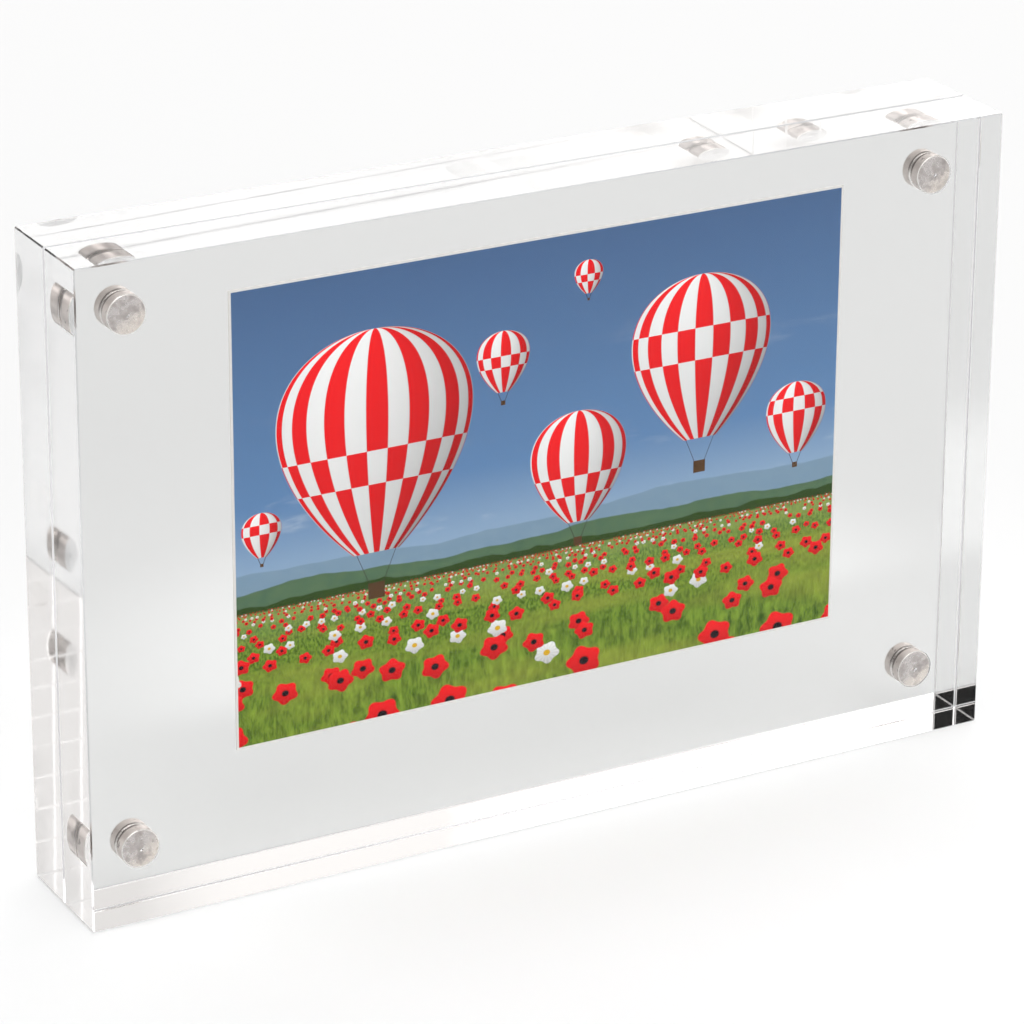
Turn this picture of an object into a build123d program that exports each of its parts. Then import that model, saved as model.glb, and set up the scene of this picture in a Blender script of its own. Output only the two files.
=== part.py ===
from build123d import *
import os

# Clear acrylic block frame: two polished slabs, held face to face by magnets, with a photo print between them.
# Millimetres. X runs across the picture, -Y is the front and +Z is up.
# The origin is at the middle of the block's base.

# Slabs, one in front of the print and one behind it
block_width = 152.4
block_height = 101.0
slab_thickness = 10.15
edge_bevel = 0.2

# Disc magnets, one near each corner of each slab
magnet_diameter = 6.0
magnet_length = 3.2
magnet_edge_radius = 0.2
magnet_inset = 9.5  # from the slab's edges to the magnet's axis
magnet_recess = 0.1  # from the slab's inner face down to the magnet

# Blind bores that the magnets are glued into
bore_clearance = 0.1  # glue film round the magnet
glue_film = 0.05  # glue film under the magnet
cutter_mark_diameter = 0.9
cutter_mark_depth = 0.2

# Photo print
print_width = 102.0
print_height = 71.0
print_thickness = 0.25
print_clearance = 0.025  # room on each side of the paper
print_top_margin = 9.4
print_offset = 0.8  # to the right of the block's middle

# The print holds the slabs apart, so its thickness sets the gap between their inner faces.
gap = print_thickness + 2 * print_clearance
bore_depth = magnet_recess + magnet_length + glue_film

# Each slab's side of the print along Y, and each corner's side along X and Z
slab_sides = {"front": -1, "rear": 1}
corners = {
    "top_left": (-1, 1),
    "top_right": (1, 1),
    "bottom_left": (-1, -1),
    "bottom_right": (1, -1),
}


def magnet_seat(side, corner):
    """Plane on a slab's inner face at a corner's magnet axis, facing into the slab."""
    across, up = corner
    x = across * (block_width / 2 - magnet_inset)
    z = block_height / 2 + up * (block_height / 2 - magnet_inset)
    return Plane(origin=(x, side * gap / 2, z), x_dir=(1, 0, 0), z_dir=(0, side, 0))


def drilled_bore():
    """Flat-bottomed bore with the cutter's centre mark, from the origin along +Z."""
    from_base = (Align.CENTER, Align.CENTER, Align.MIN)
    bore = Cylinder(magnet_diameter / 2 + bore_clearance, bore_depth, align=from_base)
    mark = Cone(cutter_mark_diameter / 2, 0, cutter_mark_depth, align=from_base)
    return bore + Pos(0, 0, bore_depth) * mark


def slab(side):
    """Bevelled plate with a blind bore for a magnet near each corner of its inner face."""
    plate = Box(block_width, slab_thickness, block_height)
    plate = chamfer(plate.edges(), edge_bevel)
    plate = Pos(0, side * (gap + slab_thickness) / 2, block_height / 2) * plate
    for corner in corners.values():
        plate -= magnet_seat(side, corner) * drilled_bore()
    return plate


def magnet(side, corner):
    """Plated disc with rounded edges, sunk just below the slab's inner face."""
    disc = Cylinder(magnet_diameter / 2, magnet_length)
    disc = fillet(disc.edges().filter_by(GeomType.CIRCLE), magnet_edge_radius)
    return magnet_seat(side, corner) * Pos(0, 0, magnet_recess + magnet_length / 2) * disc


def photo_print():
    """Flat sheet of photo paper, hung below the block's top edge."""
    middle = block_height - print_top_margin - print_height / 2
    return Pos(print_offset, 0, middle) * Box(print_width, print_thickness, print_height)


def export_parts():
    os.makedirs("parts", exist_ok=True)
    for slab_name, side in slab_sides.items():
        export_step(slab(side), f"parts/{slab_name}_block.step")
        for corner_name, corner in corners.items():
            export_step(magnet(side, corner), f"parts/{slab_name}_magnet_{corner_name}.step")
    export_step(photo_print(), "parts/photo_print.step")


export_parts()
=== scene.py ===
import math

import bpy
import numpy as np
from mathutils import Matrix, Vector


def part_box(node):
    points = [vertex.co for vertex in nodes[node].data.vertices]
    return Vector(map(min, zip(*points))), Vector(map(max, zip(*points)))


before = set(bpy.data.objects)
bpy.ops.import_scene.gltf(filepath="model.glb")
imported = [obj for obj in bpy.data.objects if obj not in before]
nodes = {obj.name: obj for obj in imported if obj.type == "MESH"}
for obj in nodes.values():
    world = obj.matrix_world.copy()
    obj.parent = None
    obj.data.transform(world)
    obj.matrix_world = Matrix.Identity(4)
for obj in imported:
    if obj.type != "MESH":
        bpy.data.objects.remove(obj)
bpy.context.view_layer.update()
mm = 0.001
print("frame loaded:", len(nodes), "nodes")


# Wraps an output socket, so that plain arithmetic on it adds Math nodes
class Wire:
    def __init__(self, finish, socket):
        self.finish = finish
        self.socket = socket

    def math(self, operation, *others):
        return self.finish.math(operation, self, *others)

    def __add__(self, other):
        return self.finish.math("ADD", self, other)

    def __radd__(self, other):
        return self.finish.math("ADD", other, self)

    def __sub__(self, other):
        return self.finish.math("SUBTRACT", self, other)

    def __rsub__(self, other):
        return self.finish.math("SUBTRACT", other, self)

    def __mul__(self, other):
        return self.finish.math("MULTIPLY", self, other)

    def __rmul__(self, other):
        return self.finish.math("MULTIPLY", other, self)

    def __truediv__(self, other):
        return self.finish.math("DIVIDE", self, other)

    def __rtruediv__(self, other):
        return self.finish.math("DIVIDE", other, self)

    def __pow__(self, other):
        return self.finish.math("POWER", self, other)

    def __rpow__(self, other):
        return self.finish.math("POWER", other, self)

    def __neg__(self):
        return self.finish.math("MULTIPLY", self, -1.0)

    def __abs__(self):
        return self.finish.math("ABSOLUTE", self)

    def __lt__(self, other):
        return self.finish.math("LESS_THAN", self, other)

    def __gt__(self, other):
        return self.finish.math("GREATER_THAN", self, other)


# One node tree and the few ways that the finishes below add nodes to it
class Finish:
    def __init__(self, tree):
        self.tree = tree

    # any node: its settings first, with a ramp's stops among them, then the values or links of its sockets
    def node(self, kind, settings=None, sockets=None, output=0):
        made = self.tree.nodes.new(kind)
        for key, value in (settings or {}).items():
            if key == "stops":
                self.setStops(made.color_ramp.elements, value)
            else:
                setattr(made, key, value)
        for key, value in (sockets or {}).items():
            self.feed(made.inputs[key], value)
        return Wire(self, made.outputs[output])

    # colours at their places from 0 to 1
    def setStops(self, elements, stops):
        while len(elements) < len(stops):
            elements.new(0.5)
        for element, (place, colour) in zip(elements, stops):
            element.position = place
            element.color = (*colour, 1.0)

    def feed(self, socket, value):
        if isinstance(value, Wire):
            self.tree.links.new(value.socket, socket)
        elif socket.type == "RGBA":
            socket.default_value = (*value, 1.0)
        else:
            socket.default_value = value

    def math(self, operation, *values):
        return self.node("ShaderNodeMath", {"operation": operation}, dict(enumerate(values)))

    def clamp(self, value, low, high):
        return self.node("ShaderNodeClamp", None, {0: value, 1: low, 2: high})

    # 0 below low, 1 above high, with an eased slope between
    def ease(self, value, low, high):
        sockets = {0: value, 1: low, 2: high, 3: 0.0, 4: 1.0}
        return self.node("ShaderNodeMapRange", {"interpolation_type": "SMOOTHSTEP"}, sockets)

    def mix(self, factor, first, second, blend="MIX"):
        settings = {"data_type": "RGBA", "blend_type": blend}
        return self.node("ShaderNodeMix", settings, {0: factor, 6: first, 7: second}, 2)

    # a colour under a light level
    def shade(self, colour, light):
        return self.mix(1.0, colour, self.join(light, light, light), "MULTIPLY")

    def ramp(self, value, stops):
        return self.node("ShaderNodeValToRGB", {"stops": stops}, {0: value})

    def join(self, x, y, z):
        return self.node("ShaderNodeCombineXYZ", None, {0: x, 1: y, 2: z})

    def split(self, vector):
        made = self.node("ShaderNodeSeparateXYZ", None, {0: vector})
        return [Wire(self, socket) for socket in made.socket.node.outputs]

    def stretch(self, vector, factors):
        return self.node("ShaderNodeVectorMath", {"operation": "MULTIPLY"}, {0: vector, 1: factors})

    def noise(self, vector, scale, detail=3.0, roughness=0.5):
        sockets = {"Vector": vector, "Scale": scale, "Detail": detail, "Roughness": roughness}
        return self.node("ShaderNodeTexNoise", None, sockets)

    def bump(self, height, strength, distance):
        sockets = {"Height": height, "Strength": strength, "Distance": distance}
        return self.node("ShaderNodeBump", None, sockets)

    def objectPlace(self):
        return self.node("ShaderNodeTexCoord", None, None, 3)


def newFinish(name):
    material = bpy.data.materials.new(name)
    material.use_nodes = True
    return material, Finish(material.node_tree), material.node_tree.nodes["Principled BSDF"]


def dress(node, material):
    mesh = nodes[node].data
    mesh.materials.clear()
    mesh.materials.append(material)


# Where the pieces lie, read from the imported parts in metres
frontLow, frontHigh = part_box("front_block")
printLow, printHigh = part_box("photo_print")
magnetLow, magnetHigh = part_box("front_magnet_top_right")
halfWidth = (frontHigh.x - frontLow.x) / 2
halfHeight = (frontHigh.z - frontLow.z) / 2
blockMiddle = (frontLow.z + frontHigh.z) / 2
magnetRadius = (magnetHigh.x - magnetLow.x) / 2
magnetAcross = (magnetHigh.x + magnetLow.x) / 2  # from the block's middle to each magnet's axis
magnetUp = (magnetHigh.z + magnetLow.z) / 2 - blockMiddle


# Distance from the nearest magnet axis, as all four are mirror images about the block's middle
def fromMagnetAxis(x, z):
    dx = abs(x) - magnetAcross
    dz = abs(z - blockMiddle) - magnetUp
    return (dx * dx + dz * dz).math("SQRT")


acrylic = {
    "colour": (0.885, 0.887, 0.884),
    "ior": 1.491,
    "mirror": (0.06, 0.06, 0.06),  # holds back the mirror image of the room in the broad faces
    "scuffScale": 260.0,
    "scuffRange": (0.66, 0.80),
    "scuffRoughness": 0.006,
    "skin": 0.05 * mm,  # an edge face is what lies within this of the slab's outline
    "waveScale": (45.0, 300.0, 45.0),  # flame polish leaves waves that are long along an edge
    "endRoughness": 0.05,  # the sawn ends are polished a little less than the faces
    "bevel": 0.19 * mm,  # just inside the edge bevels' width
    "bevelColour": (0.60, 0.60, 0.62),
    "bevelRoughness": 0.20,
    "boreReach": 0.12 * mm,  # the bore's surfaces lie within this of the magnet's side
    "boreDepth": 0.35 * mm,  # and within this of its buried end
    "glueReach": 0.07 * mm,  # the wall that glue wets lies further than this from the magnet's side
    "boreRoughness": 0.16,
    "ringPitch": 0.22 * mm,  # rings that the cutter left
    "ringHeight": 0.4,  # beside the waves
    "bump": (0.3, 0.02 * mm),
}


# Clear cast sheet: flat polished faces, wavy edges, satin bevels, and cut rings in the magnet bores
def clearAcrylic():
    material, finish, shader = newFinish("polished_acrylic")
    place = finish.objectPlace()
    x, y, z = finish.split(place)
    away = fromMagnetAxis(x, z)
    inBore = (away < magnetRadius + acrylic["boreReach"]) * (abs(y) < acrylic["boreDepth"] - magnetLow.y)
    onWall = inBore * (away > magnetRadius + acrylic["glueReach"])
    fromEnd = halfWidth - abs(x)
    fromRail = halfHeight - abs(z - blockMiddle)
    fromFace = finish.math("MINIMUM", abs(y) + frontHigh.y, -frontLow.y - abs(y))
    onEnd = fromEnd < acrylic["skin"]
    onEdge = finish.math("MINIMUM", fromEnd, fromRail) < acrylic["skin"]
    # a bevel is where two of the three pairs of faces are near
    bevel = acrylic["bevel"]
    onBevel = (fromEnd < bevel) + (fromRail < bevel) + (fromFace < bevel) > 1.5
    scuff = finish.ease(finish.noise(place, acrylic["scuffScale"]), *acrylic["scuffRange"])
    wave = finish.noise(finish.stretch(place, acrylic["waveScale"]), 1.0, 2.0)
    rings = (away * 2 * math.pi / acrylic["ringPitch"]).math("SINE")
    height = wave * onEdge + rings * inBore * acrylic["ringHeight"]
    roughness = scuff * acrylic["scuffRoughness"] + inBore * acrylic["boreRoughness"]
    roughness = roughness + onBevel * acrylic["bevelRoughness"] + onEnd * acrylic["endRoughness"]
    colour = finish.mix(onBevel, acrylic["colour"], acrylic["bevelColour"])
    finish.feed(shader.inputs["Base Color"], colour)
    finish.feed(shader.inputs["Roughness"], roughness)
    finish.feed(shader.inputs["Normal"], finish.bump(height, *acrylic["bump"]))
    finish.feed(shader.inputs["Alpha"], 1.0 - onWall)  # clear glue hides the wall and shows the magnet's side
    finish.feed(shader.inputs["Specular Tint"], acrylic["mirror"])
    shader.inputs["IOR"].default_value = acrylic["ior"]
    shader.inputs["Transmission Weight"].default_value = 1.0
    return material


nickel = {
    "bright": (0.712, 0.668, 0.656),
    "dull": (0.495, 0.451, 0.439),
    "endHighlight": (0.97, 0.885, 0.81),  # painted highlight: the paler, warmer colour on the lit side of each end
    "side": (0.72, 0.665, 0.635),
    "speck": (0.92, 0.88, 0.85),
    # dark pits, and also the colour of the painted shade by the gap
    "pit": (0.10, 0.08, 0.07),
    # painted highlight along the rims
    "rimHighlight": (0.95, 0.93, 0.91),
    "mottleScale": 700.0,
    "mottleRange": (0.42, 0.68),
    "speckScale": 2600.0,
    "speckRange": (0.60, 0.70),
    "pitScale": 1100.0,
    "pitRange": (0.38, 0.31),
    "pitOnSide": 0.7,
    "speckOnEnd": 0.35,
    "speckOnSide": 0.75,
    "litSide": (0.6, -0.8),  # across and up, towards the side of each end that has the painted highlight
    "endHighlightRange": (0.0, 1.0),  # in radii that way
    "endHighlightMottle": 0.6,  # how far the mottle breaks the painted highlight up
    "endHighlightAmount": 0.75,
    "gapShadeRange": (-0.45, -0.90),  # painted shade by the gap between two magnets lies on the side away from the painted highlight
    "gapShadeFade": (0.90 * mm, 0.35 * mm),  # and ends between these distances from the gap
    "gapShadeAmount": 0.85,
    "sideFade": (0.12 * mm, 0.04 * mm),  # the side's finish comes in between these depths
    "rimHighlightFade": (0.22 * mm, 0.10 * mm),  # and the rims' painted highlight comes in between these
    "ringPitch": 0.18 * mm,
    "ringHeight": 0.5,  # beside the mottle
    "bump": (0.2, 0.02 * mm),
    "roughness": 0.24,
    "mottleRoughness": 0.15,
    "sideRoughness": 0.16,
    "speckRoughness": 0.10,
}


# Nickel plate: faint turning rings on the ends, a painted highlight to one side of each end, pitted sides
# that glue has wetted, painted highlights on the rims, and a line of painted shade where two magnets face
# each other
def nickelPlate():
    material, finish, shader = newFinish("magnet_plating")
    place = finish.objectPlace()
    x, y, z = finish.split(place)
    away = fromMagnetAxis(x, z)
    depth = magnetRadius - away  # in from the magnet's side
    fromInner = abs(y) + magnetHigh.y
    fromEnd = finish.math("MINIMUM", fromInner, -magnetLow.y - abs(y))
    rise = z - blockMiddle
    asideX = x - x.math("SIGN") * magnetAcross
    asideZ = rise - rise.math("SIGN") * magnetUp
    litX, litZ = nickel["litSide"]
    lean = (asideX * litX + asideZ * litZ) / magnetRadius
    mottle = finish.ease(finish.noise(place, nickel["mottleScale"], 5.0, 0.6), *nickel["mottleRange"])
    speck = finish.ease(finish.noise(place, nickel["speckScale"]), *nickel["speckRange"])
    pit = finish.ease(finish.noise(place, nickel["pitScale"]), *nickel["pitRange"])
    onSide = finish.ease(depth, *nickel["sideFade"])
    # painted highlight along both rims of each magnet
    onRimHighlight = finish.ease(depth, *nickel["rimHighlightFade"]) * finish.ease(fromEnd, *nickel["rimHighlightFade"])
    # painted highlight: each end is paler and warmer towards one side, as if lit from there
    endHighlight = finish.ease(lean + (0.5 - mottle) * nickel["endHighlightMottle"], *nickel["endHighlightRange"])
    # painted shade: a dark line by the gap, only on the side away from the painted highlight
    gapShade = finish.ease(fromInner, *nickel["gapShadeFade"]) * finish.ease(lean, *nickel["gapShadeRange"])
    rings = (away * 2 * math.pi / nickel["ringPitch"]).math("SINE")
    speckShare = nickel["speckOnEnd"] + onSide * (nickel["speckOnSide"] - nickel["speckOnEnd"])
    colour = finish.mix(mottle, nickel["bright"], nickel["dull"])
    colour = finish.mix(endHighlight * nickel["endHighlightAmount"], colour, nickel["endHighlight"])
    colour = finish.mix(onSide, colour, nickel["side"])
    colour = finish.mix(speck * speckShare, colour, nickel["speck"])
    colour = finish.mix(onRimHighlight, colour, nickel["rimHighlight"])
    colour = finish.mix(pit * onSide * nickel["pitOnSide"], colour, nickel["pit"])
    # painted shade by the gap, in the pits' dark colour
    colour = finish.mix(gapShade * onSide * nickel["gapShadeAmount"], colour, nickel["pit"])
    roughness = nickel["roughness"] + mottle * nickel["mottleRoughness"]
    roughness = roughness + onSide * nickel["sideRoughness"] + speck * nickel["speckRoughness"]
    finish.feed(shader.inputs["Base Color"], colour)
    finish.feed(shader.inputs["Roughness"], roughness)
    finish.feed(shader.inputs["Normal"], finish.bump(rings * nickel["ringHeight"] + mottle, *nickel["bump"]))
    shader.inputs["Metallic"].default_value = 1.0
    return material


# The printed landscape is painted in picture heights: across from the middle, up from the lower edge
picture = {
    "horizon": 0.30,
    "red": (0.92, 0.012, 0.016),
    "white": (0.905, 0.925, 0.930),
}
horizon = picture["horizon"]

sky = {
    "colours": [(0.28, (0.42, 0.58, 0.75)), (0.52, (0.14, 0.28, 0.52)), (1.0, (0.085, 0.165, 0.33))],
    "cloud": (0.80, 0.85, 0.90),
    "cloudStretch": (1.6, 6.0),
    "cloudScale": 1.9,
    "cloudRange": (0.54, 0.82),
    "cloudFade": (0.90, 0.36),  # thins out from the lower height to the upper one
    "cloudAmount": 0.7,
}


# Open sky: deep blue overhead, paler by the horizon, with thin drawn-out cloud
def paintSky(finish, across, up):
    wide, tall = sky["cloudStretch"]
    drift = finish.join(across * wide, up * tall, 0.7)
    cloud = finish.ease(finish.noise(drift, sky["cloudScale"], 7.0, 0.62), *sky["cloudRange"])
    thin = finish.ease(up, *sky["cloudFade"])
    return finish.mix(cloud * thin * sky["cloudAmount"], finish.ramp(up, sky["colours"]), sky["cloud"])


hills = {
    # from the far ridge to the near one: height, how far noise lifts it, the noise's scale, two colours
    "ridges": [
        (0.385, 0.10, 1.7, (0.20, 0.33, 0.47), (0.27, 0.40, 0.52)),
        (0.345, 0.07, 2.6, (0.06, 0.14, 0.10), (0.15, 0.25, 0.12)),
        (0.318, 0.045, 9.0, (0.010, 0.035, 0.008), (0.06, 0.12, 0.02)),
    ],
    "leafScale": 14.0,  # times the ridge's own
    "leafStretch": 1.4,
    "edge": 0.004,
}


# A ridge: ground below a line that noise lifts and drops
def paintRidge(finish, under, across, up, ridge):
    base, lift, scale, shaded, lit = ridge
    line = base + (finish.noise(finish.join(across, base * 9.0, 0.0), scale, 4.0, 0.55) - 0.5) * lift
    leafPlace = finish.join(across, up * hills["leafStretch"], base)
    leaf = finish.noise(leafPlace, scale * hills["leafScale"], 4.0, 0.7)
    return finish.mix(finish.ease(line - up, 0.0, hills["edge"]), under, finish.mix(leaf, shaded, lit))


meadow = {
    "shaded": (0.030, 0.085, 0.008),
    "lit": (0.27, 0.43, 0.045),
    "dry": (0.42, 0.46, 0.07),
    "haze": (0.28, 0.42, 0.15),
    "farScale": 190.0,  # grass by the horizon
    "nearScale": 60.0,  # grass in front
    "nearFade": (horizon - 0.04, 0.02),
    "bladeRange": (0.30, 0.70),
    "dryRange": (0.4, 0.7),
    "dryAmount": 0.5,
    "hazeFade": (horizon - 0.10, horizon),
    "hazeAmount": 0.5,
    "edge": 0.006,
}


# Meadow: tufts that grow towards the front, over broad fresh and dry drifts, hazy by the horizon
def paintMeadow(finish, under, across, up):
    near = finish.math("MAXIMUM", horizon + 0.03 - up, 0.01)
    fine = finish.noise(finish.join(across, up * 0.5, 0.0), meadow["farScale"], 3.0, 0.7)
    coarse = finish.noise(finish.join(across, up * 0.35, 5.0), meadow["nearScale"], 5.0, 0.75)
    front = finish.ease(up, *meadow["nearFade"])
    blade = fine * (1.0 - front) + coarse * front
    drift = finish.noise(finish.join(across * 2.5, near.math("LOGARITHM", math.e) * 3.0, 2.0), 0.9)
    dry = finish.ease(drift, *meadow["dryRange"]) * meadow["dryAmount"]
    haze = finish.ease(up, *meadow["hazeFade"]) * meadow["hazeAmount"]
    green = finish.mix(finish.ease(blade, *meadow["bladeRange"]), meadow["shaded"], meadow["lit"])
    green = finish.mix(haze, finish.mix(dry, green, meadow["dry"]), meadow["haze"])
    return finish.mix(finish.ease(horizon - up, 0.0, meadow["edge"]), under, green)


flowers = {
    # layers: ink, chance of a blossom, and a shift that keeps the layers apart
    "layers": [("red", 0.70, 0.1), ("white", 0.45, 0.43), ("red", 0.85, 0.77)],
    "hearts": {"red": (0.012, 0.006, 0.010), "white": (0.75, 0.45, 0.02)},
    "radius": 0.17,  # as a share of the distance below the horizon
    "rowRatio": 1.6,  # each row lies this many times further below the horizon
    "spacing": 3.2,  # width of a flower's cell in radii
    "petals": 5,
    "lobe": 0.10,  # how far the petals stand out
    "heart": (0.30, 0.20),
    "squash": 1.2,
    "leastSize": 0.7,
}


# Flowers: rows spaced evenly in the logarithm of the distance below the horizon, so that they grow towards
# the front, with one flower to a cell, its place, size and presence drawn from the cell's numbers;
# its outline is a circle with shallow lobes, squashed a little as if seen from above
def paintFlowers(finish, under, across, up, layer):
    tint, chance, shift = layer
    spacing, petals, least = flowers["spacing"], flowers["petals"], flowers["leastSize"]
    near = finish.math("MAXIMUM", horizon + 0.012 - up, 0.010)
    row = (near.math("LOGARITHM", flowers["rowRatio"]) + shift).math("FLOOR")
    rowNear = flowers["rowRatio"] ** (row + (0.5 - shift))
    radius = rowNear * flowers["radius"]
    cell = across / (radius * spacing) + row * 0.37 + shift
    column = cell.math("FLOOR")
    numbers = {"Vector": finish.join(column, row + shift, 0.0)}
    luck = finish.node("ShaderNodeTexWhiteNoise", {"noise_dimensions": "2D"}, numbers, 1)
    luckAcross, luckUp, draw = finish.split(luck)
    size = least + (draw * 7.0).math("FRACT") * (1.0 - least)
    u = ((cell - column - 0.5) * spacing + (luckAcross - 0.5)) / size
    v = ((rowNear - near) / radius + (luckUp - 0.5) * 0.5) / size * flowers["squash"]
    angle = finish.math("ARCTAN2", v, u)
    out = (u * u + v * v).math("SQRT")
    grows = (draw < chance) * (up < horizon)
    outline = 0.9 + (angle * petals + draw * 6.0).math("COSINE") * flowers["lobe"]
    blossom = finish.ease(outline - out, 0.0, 0.10) * grows
    creases = (angle * petals * 3).math("COSINE") * out * 0.10
    petal = finish.shade(picture[tint], finish.clamp(0.88 + v * 0.25 + creases, 0.25, 1.1))
    heart = finish.ease(out, *flowers["heart"])
    return finish.mix(blossom, under, finish.mix(heart, petal, flowers["hearts"][tint]))


balloons = {
    # across and up, radius, gores, and the band where the colours swap as shares of the height
    "all": [
        (0.10, 0.900, 0.034, 6, 0.40, 0.60),
        (-0.655, 0.47, 0.045, 6, 0.55, 0.75),
        (-0.10, 0.75, 0.062, 8, 0.45, 0.62),
        (0.615, 0.50, 0.075, 8, 0.62, 0.80),
        (0.08, 0.49, 0.115, 10, 0.30, 0.46),
        (0.375, 0.69, 0.170, 12, 0.52, 0.70),
        (-0.395, 0.645, 0.225, 14, 0.36, 0.50),
    ],
    "tall": 2.35,  # the envelope's height in radii
    "below": 0.58,  # share of that height below its middle
    "taper": 0.9,
    "girth": 2.49,  # scales the profile to one radius at its widest
    "mouth": 0.075,  # the envelope is cut off at this share of its height
    "edge": 0.0018,  # half the width of the outline's blur
    "light": 0.96,
    "lightAcross": 0.24,
    "lightUp": 0.40,
    "lightRound": 0.24,
    "seamShade": 0.10,
    "rope": (0.05, 0.04, 0.035),
    "basket": (0.11, 0.055, 0.022),
}


# Balloon: half width grows as height to the taper and closes as the root of what is left above;
# gores are equal turns round the axis, and light falls from the upper left
def paintBalloon(finish, under, across, up, balloon):
    middle, centre, radius, gores, bandLow, bandHigh = balloon
    tall, mouth, edge = balloons["tall"] * radius, balloons["mouth"], balloons["edge"]
    foot = centre - balloons["below"] * tall
    aside = across - middle
    t = finish.clamp((up - foot) / tall, 0.0, 1.0)
    half = t ** balloons["taper"] * (1.0 - t).math("SQRT") * (balloons["girth"] * radius)
    turn = finish.clamp(aside / finish.math("MAXIMUM", half, 0.0005), -1.0, 1.0)
    side = (turn.math("ARCSINE") / math.pi + 0.03) * gores
    gore = side.math("FLOOR").math("PINGPONG", 1.0)
    band = (t > bandLow) * (t < bandHigh)
    seam = finish.ease(abs(side.math("FRACT") - 0.5), 0.42, 0.5)
    light = balloons["light"] - turn * balloons["lightAcross"] + (t - 0.55) * balloons["lightUp"]
    light = light - turn * turn * balloons["lightRound"] - seam * balloons["seamShade"]
    cloth = finish.shade(finish.mix(abs(gore - band), picture["red"], picture["white"]), light)
    envelope = finish.ease(half - abs(aside), -edge, edge) * (t > mouth) * (t < 0.999)
    picked = finish.mix(envelope, under, cloth)
    # the basket and the ropes that carry it, in radii below the mouth
    drop = foot + mouth * tall - up
    spread = abs(abs(aside) + drop * 0.42 - 0.20 * radius)
    rope = finish.ease(spread, 0.0014, 0.0004) * (drop > 0.0) * (drop < 0.31 * radius)
    basket = (abs(aside) < 0.085 * radius) * (drop > 0.30 * radius) * (drop < 0.46 * radius)
    picked = finish.mix(rope * 0.8, picked, balloons["rope"])
    return finish.mix(basket, picked, balloons["basket"])


paper = {
    "dark": (0.80, 0.79, 0.77),
    "light": (0.88, 0.875, 0.86),
    "fibreScale": 2600.0,
    "border": 0.35 * mm,
    "inkDepth": 0.02 * mm,  # the printed side lies within this of the front
    "roughness": 0.62,
    "printRoughness": 0.28,
    "fibreRoughness": 0.05,
    "bump": (0.05, 0.005 * mm),
    "specular": 0.12,  # the paper lies against the slab, so little light mirrors off its own surface
}


# Photo paper: a landscape printed on the front inside a thin white border, plain paper on the back and edges
def photoPaper():
    material, finish, shader = newFinish("printed_paper")
    place = finish.objectPlace()
    x, y, z = finish.split(place)
    tall = printHigh.z - printLow.z
    across = (x - (printLow.x + printHigh.x) / 2) / tall
    up = (z - printLow.z) / tall
    view = paintSky(finish, across, up)
    for ridge in hills["ridges"]:
        view = paintRidge(finish, view, across, up, ridge)
    view = paintMeadow(finish, view, across, up)
    for layer in flowers["layers"]:
        view = paintFlowers(finish, view, across, up, layer)
    for balloon in balloons["all"]:
        view = paintBalloon(finish, view, across, up, balloon)
    fibre = finish.noise(place, paper["fibreScale"], 4.0, 0.7)
    blank = finish.mix(fibre, paper["dark"], paper["light"])
    border = paper["border"]
    inside = (x > printLow.x + border) * (x < printHigh.x - border)
    inside = inside * (z > printLow.z + border) * (z < printHigh.z - border)
    front = y < printLow.y + paper["inkDepth"]
    gloss = front * (paper["roughness"] - paper["printRoughness"])
    finish.feed(shader.inputs["Base Color"], finish.mix(inside * front, blank, view))
    finish.feed(shader.inputs["Roughness"], paper["roughness"] - gloss + fibre * paper["fibreRoughness"])
    finish.feed(shader.inputs["Normal"], finish.bump(fibre, *paper["bump"]))
    shader.inputs["Specular IOR Level"].default_value = paper["specular"]
    return material


clearFinish = clearAcrylic()
platedFinish = nickelPlate()
paperFinish = photoPaper()
for name in nodes:
    if name.endswith("_block"):
        dress(name, clearFinish)
    elif "_magnet_" in name:
        dress(name, platedFinish)
dress("photo_print", paperFinish)
print("finishes on", len(nodes), "nodes")


floor = {
    "radius": 6.0,
    "drop": 0.05 * mm,  # keeps the base face off the floor's own plane
    "rings": 24,
    "spokes": 96,
    "under": (0.920, 0.949, 0.964),  # painted light below the block, where only the top face shows it
    "underFade": (0.0, 1.5 * mm),
    # painted light: the sheet is paler near the block and greys further off
    "near": (0.772, 0.796, 0.809),
    "far": (0.668, 0.688, 0.699),
    "farFade": (0.02, 0.18),  # the painted pool of light round the block greys between these distances from the block's middle
    "paintedPool": 0.175,  # a painted pool of light makes the sheet lighter behind the block, where light through the block would fall
    "glowMiddle": (0.030, 0.065),
    "glowReach": (0.084, 0.060),
    "glowFade": (1.1, 0.5),  # in reaches from the middle
    "glowNear": (0.050, 0.064),  # and it ends short of the block
    "roughness": 0.9,
    "specular": 0.1,
}


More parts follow.
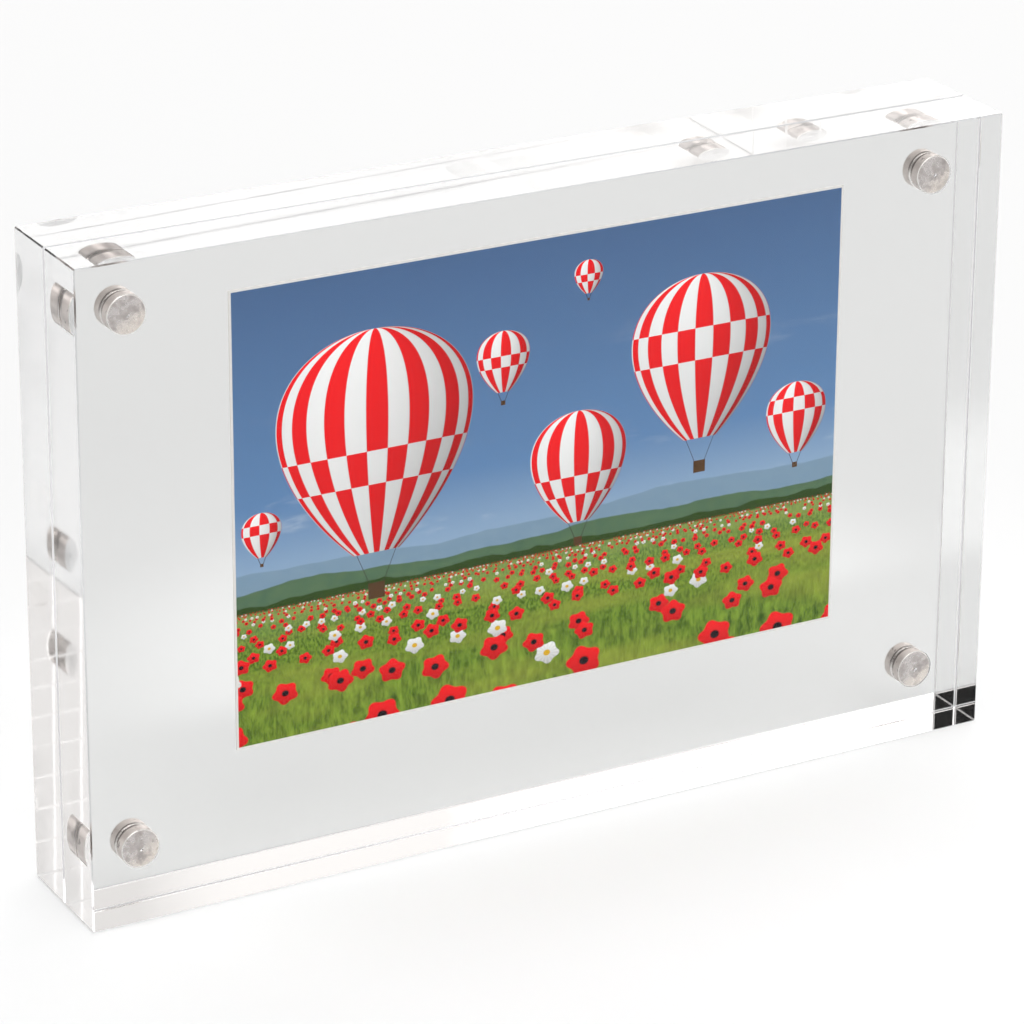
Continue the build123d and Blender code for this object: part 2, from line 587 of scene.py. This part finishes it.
# Floor: rings of a flat disc, radius growing as the square of the ring's number, closed by a fan at the hub
def paleFloor():
    rings, spokes = floor["rings"], floor["spokes"]
    r = np.linspace(0.0, 1.0, rings + 1)[1:] ** 2 * floor["radius"]
    a = np.linspace(0.0, 2 * math.pi, spokes, endpoint=False)
    level = np.full((rings, spokes), -floor["drop"])
    grid = np.stack([np.outer(r, np.cos(a)), np.outer(r, np.sin(a)), level], -1)
    points = np.vstack([grid.reshape(-1, 3), [[0.0, 0.0, -floor["drop"]]]])
    i, j = np.meshgrid(np.arange(rings - 1), np.arange(spokes), indexing="ij")
    k = (j + 1) % spokes
    quads = np.stack([i * spokes + j, (i + 1) * spokes + j, (i + 1) * spokes + k, i * spokes + k], -1)
    hub = np.stack([np.full(spokes, rings * spokes), np.arange(spokes), (np.arange(spokes) + 1) % spokes], -1)
    mesh = bpy.data.meshes.new("pale_floor")
    mesh.from_pydata(points.tolist(), [], quads.reshape(-1, 4).tolist() + hub.tolist())
    sheet = bpy.data.objects.new("pale_floor", mesh)
    bpy.context.scene.collection.objects.link(sheet)
    material, finish, shader = newFinish("pale_floor")
    x, y, z = finish.split(finish.objectPlace())
    # painted pool of light round the block
    fade = finish.ease((x * x + y * y).math("SQRT"), *floor["farFade"])
    inset = finish.math("MINIMUM", halfWidth - abs(x), -frontLow.y - abs(y))
    # painted pool of light behind the block
    glowX = (x - floor["glowMiddle"][0]) / floor["glowReach"][0]
    glowY = (y - floor["glowMiddle"][1]) / floor["glowReach"][1]
    paintedPool = finish.ease((glowX * glowX + glowY * glowY).math("SQRT"), *floor["glowFade"])
    paintedPool = paintedPool * finish.ease(y, *floor["glowNear"]) * floor["paintedPool"]
    colour = finish.shade(finish.mix(fade, floor["near"], floor["far"]), 1.0 + paintedPool)
    # painted light: the sheet under the block is paler still
    colour = finish.mix(finish.ease(inset, *floor["underFade"]), colour, floor["under"])
    finish.feed(shader.inputs["Base Color"], colour)
    shader.inputs["Roughness"].default_value = floor["roughness"]
    shader.inputs["Specular IOR Level"].default_value = floor["specular"]
    mesh.materials.append(material)


room = {
    "dark": 0.003,
    "warmth": (1.0, 0.970, 0.954),
    # azimuth of the middle (0 behind the block, 90 on its right), half the width, softness,
    # lowest and highest elevation, softness, brightness
    "panels": [
        (0.0, 180.0, 1.0, 64.0, 90.0, 5.0, 2.70),
        (180.0, 180.0, 1.0, 36.0, 66.0, 3.0, 1.10),
        (180.0, 40.0, 8.0, 37.0, 64.0, 4.0, 2.20),
        (180.0, 12.0, 6.0, -5.0, 40.0, 4.0, 3.00),
        (52.0, 24.0, 3.0, -5.0, 34.0, 4.0, 2.60),
        (42.0, 19.3, 2.5, -5.0, 34.0, 4.0, 1.28),
        (18.0, 10.0, 4.0, -5.0, 34.0, 4.0, 1.00),
        (-8.0, 18.0, 4.0, -5.0, 36.0, 4.0, 0.75),
        (105.0, 45.0, 12.0, -5.0, 34.0, 4.0, 0.94),
        (155.0, 35.0, 12.0, -5.0, 36.0, 4.0, 0.94),
        (-150.0, 45.0, 12.0, -5.0, 34.0, 4.0, 0.35),
        (-88.0, 49.0, 3.0, -5.0, 38.0, 4.0, 0.75),
        (-32.0, 20.0, 4.0, -5.0, 13.0, 3.0, 0.75),
    ],
}


# Room: soft panels all round the block, and a dark gap behind it that its low right corner mirrors
def roomLight():
    world = bpy.data.worlds.new("studio_room")
    world.use_nodes = True
    bpy.context.scene.world = world
    finish = Finish(world.node_tree)
    x, y, z = finish.split(finish.node("ShaderNodeTexCoord"))
    turn = finish.math("ARCTAN2", x, y).math("DEGREES")
    rise = z.math("ARCSINE").math("DEGREES")
    level = room["dark"]
    for middle, half, softTurn, low, high, softRise, bright in room["panels"]:
        across = finish.ease((turn - middle).math("PINGPONG", 180.0), half + softTurn, half - softTurn)
        above = finish.ease(rise, low - softRise, low + softRise)
        below = finish.ease(rise, high + softRise, high - softRise)
        level = finish.math("MAXIMUM", level, across * above * below * bright)
    background = world.node_tree.nodes["Background"]
    finish.feed(background.inputs["Color"], room["warmth"])
    finish.feed(background.inputs["Strength"], level)


paleFloor()
roomLight()
print("studio ready")


camera = {
    "place": (-307.98 * mm, -554.68 * mm, 309.36 * mm),
    "azimuth": -29.66,  # degrees round from straight in front
    "elevation": 21.198,
    "roll": 0.645,
    "focalPixels": 4596.0,
    "centrePixel": (573.0, 410.0),
    "imagePixels": 1024.0,
    "sensor": 36.0,
    "clip": (0.01, 50.0),
}


def photoCamera():
    data = bpy.data.cameras.new("photo_camera")
    size = camera["imagePixels"]
    centreX, centreY = camera["centrePixel"]
    data.sensor_fit = "HORIZONTAL"
    data.sensor_width = camera["sensor"]
    data.lens = camera["focalPixels"] * camera["sensor"] / size
    data.shift_x = (size / 2 - centreX) / size
    data.shift_y = (centreY - size / 2) / size
    data.clip_start, data.clip_end = camera["clip"]
    a, e = math.radians(camera["azimuth"]), math.radians(camera["elevation"])
    back = Vector((math.sin(a) * math.cos(e), -math.cos(a) * math.cos(e), math.sin(e)))
    aim = (-back).to_track_quat("-Z", "Y").to_matrix()
    roll = Matrix.Rotation(math.radians(camera["roll"]), 3, "Z")
    made = bpy.data.objects.new("photo_camera", data)
    made.matrix_world = Matrix.Translation(camera["place"]) @ (aim @ roll).to_4x4()
    bpy.context.scene.collection.objects.link(made)
    bpy.context.scene.camera = made


photoCamera()
scene = bpy.context.scene
scene.view_settings.view_transform = "Standard"
scene.cycles.use_denoising = True
scene.cycles.max_bounces = 32
scene.cycles.transmission_bounces = 32
scene.cycles.glossy_bounces = 24
scene.cycles.diffuse_bounces = 4
scene.cycles.blur_glossy = 0.0  # lets the light reach the print and the floor under the block in full
print("camera ready")
